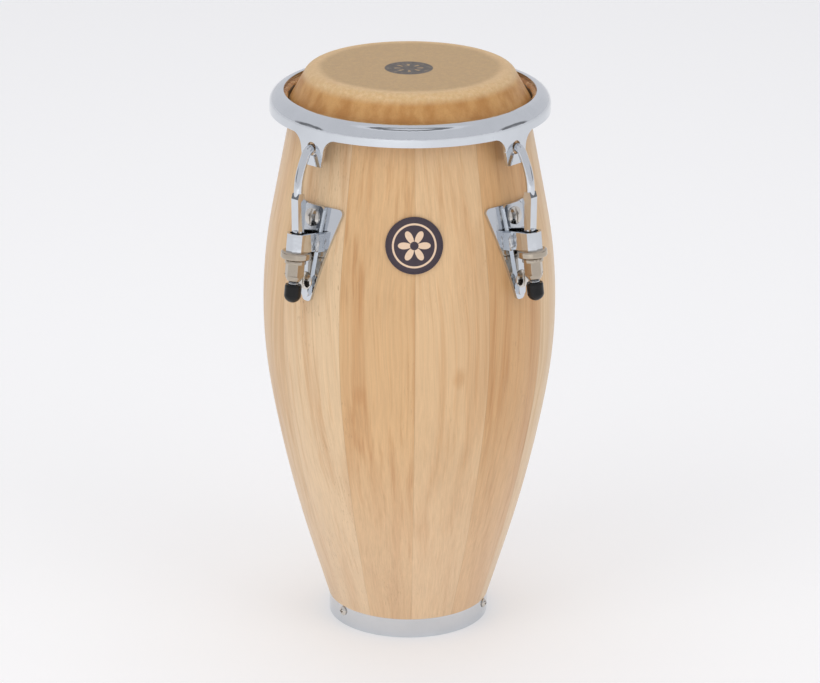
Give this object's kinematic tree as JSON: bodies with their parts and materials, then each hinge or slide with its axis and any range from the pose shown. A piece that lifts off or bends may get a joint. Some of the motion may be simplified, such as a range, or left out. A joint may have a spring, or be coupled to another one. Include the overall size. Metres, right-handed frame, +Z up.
{
  "type": "small conga drum",
  "caption": "Tall barrel drum of glued wooden staves with a rawhide head, pulled tight by a chrome rim, tension hooks and tuning nuts, on a chrome foot ring.",
  "frame": {"origin": "centre of the foot, on the floor", "axes": "+Z up along the drum's axis; -Y is the side with the round badge"},
  "size_m": [0.142, 0.142, 0.28],
  "materials": {
    "stave_wood": "satin lacquer",
    "rawhide": "smooth dry rawhide",
    "chrome": "polished",
    "steel_screw": "polished",
    "nickel": "polished, slightly warm",
    "hoop_wire": "plain",
    "zinc_steel": "zinc plated",
    "black_rubber": "matte",
    "badge": "dark gloss with a tan motif"
  },
  "bodies": {
    "shell": {"stave_01": "stave_wood", "stave_02": "stave_wood", "stave_03": "stave_wood", "stave_04": "stave_wood", "stave_05": "stave_wood", "stave_06": "stave_wood", "stave_07": "stave_wood", "stave_08": "stave_wood", "stave_09": "stave_wood", "stave_10": "stave_wood", "stave_11": "stave_wood", "stave_12": "stave_wood", "foot_ring": "chrome", "foot_ring_screws": "steel_screw", "head_skin": "rawhide", "front_badge": "badge", "side_plate_screws": "steel_screw", "side_plate_washers": "zinc_steel", "side_plate_nuts": "zinc_steel", "side_plate_1": "chrome", "side_plate_2": "chrome", "side_plate_3": "chrome", "side_plate_4": "chrome", "rod_strap_1": "chrome", "rod_strap_2": "chrome", "rod_strap_3": "chrome", "rod_strap_4": "chrome", "lug_washer_1": "nickel", "lug_washer_2": "nickel", "lug_washer_3": "nickel", "lug_washer_4": "nickel"},
    "rim": {"rim": "chrome", "flesh_hoop": "hoop_wire"},
    "hook_1": {"tension_hook_1": "chrome", "rod_cap_1": "black_rubber"},
    "nut_1": {"tuning_nut_1": "nickel"},
    "hook_2": {"tension_hook_2": "chrome", "rod_cap_2": "black_rubber"},
    "nut_2": {"tuning_nut_2": "nickel"},
    "hook_3": {"tension_hook_3": "chrome", "rod_cap_3": "black_rubber"},
    "nut_3": {"tuning_nut_3": "nickel"},
    "hook_4": {"tension_hook_4": "chrome", "rod_cap_4": "black_rubber"},
    "nut_4": {"tuning_nut_4": "nickel"}
  },
  "joints": [
    {"name": "rim_pull", "type": "slide", "parent": "shell", "child": "rim", "axis": [0, 0, 1], "range_m": [-0.004, 0.0014], "deforming": ["head_skin"]},
    {"name": "hook_1_pull", "type": "slide", "parent": "shell", "child": "hook_1", "axis": [-0.0923, 0.0923, 0.9914], "range_m": [-0.00404, 0.00152]},
    {"name": "nut_1_turn", "type": "hinge", "parent": "shell", "child": "nut_1", "pos_m": [0.05586, -0.05586, 0.2], "axis": [-0.0923, 0.0923, 0.9914], "range_deg": [-682, 1816]},
    {"name": "hook_2_pull", "type": "slide", "parent": "shell", "child": "hook_2", "axis": [-0.0923, -0.0923, 0.9914], "range_m": [-0.00404, 0.00152]},
    {"name": "nut_2_turn", "type": "hinge", "parent": "shell", "child": "nut_2", "pos_m": [0.05586, 0.05586, 0.2], "axis": [-0.0923, -0.0923, 0.9914], "range_deg": [-682, 1816]},
    {"name": "hook_3_pull", "type": "slide", "parent": "shell", "child": "hook_3", "axis": [0.0923, -0.0923, 0.9914], "range_m": [-0.00404, 0.00152]},
    {"name": "nut_3_turn", "type": "hinge", "parent": "shell", "child": "nut_3", "pos_m": [-0.05586, 0.05586, 0.2], "axis": [0.0923, -0.0923, 0.9914], "range_deg": [-682, 1816]},
    {"name": "hook_4_pull", "type": "slide", "parent": "shell", "child": "hook_4", "axis": [0.0923, 0.0923, 0.9914], "range_m": [-0.00404, 0.00152]},
    {"name": "nut_4_turn", "type": "hinge", "parent": "shell", "child": "nut_4", "pos_m": [-0.05586, -0.05586, 0.2], "axis": [0.0923, 0.0923, 0.9914], "range_deg": [-682, 1816]}
  ],
  "couplings": [
    {"joint": "hook_1_pull", "follows": "rim_pull", "ratio": 1.0086},
    {"joint": "nut_1_turn", "follows": "rim_pull", "rad_per_m": -7921.8},
    {"joint": "hook_2_pull", "follows": "rim_pull", "ratio": 1.0086},
    {"joint": "nut_2_turn", "follows": "rim_pull", "rad_per_m": -7921.8},
    {"joint": "hook_3_pull", "follows": "rim_pull", "ratio": 1.0086},
    {"joint": "nut_3_turn", "follows": "rim_pull", "rad_per_m": -7921.8},
    {"joint": "hook_4_pull", "follows": "rim_pull", "ratio": 1.0086},
    {"joint": "nut_4_turn", "follows": "rim_pull", "rad_per_m": -7921.8}
  ]
}
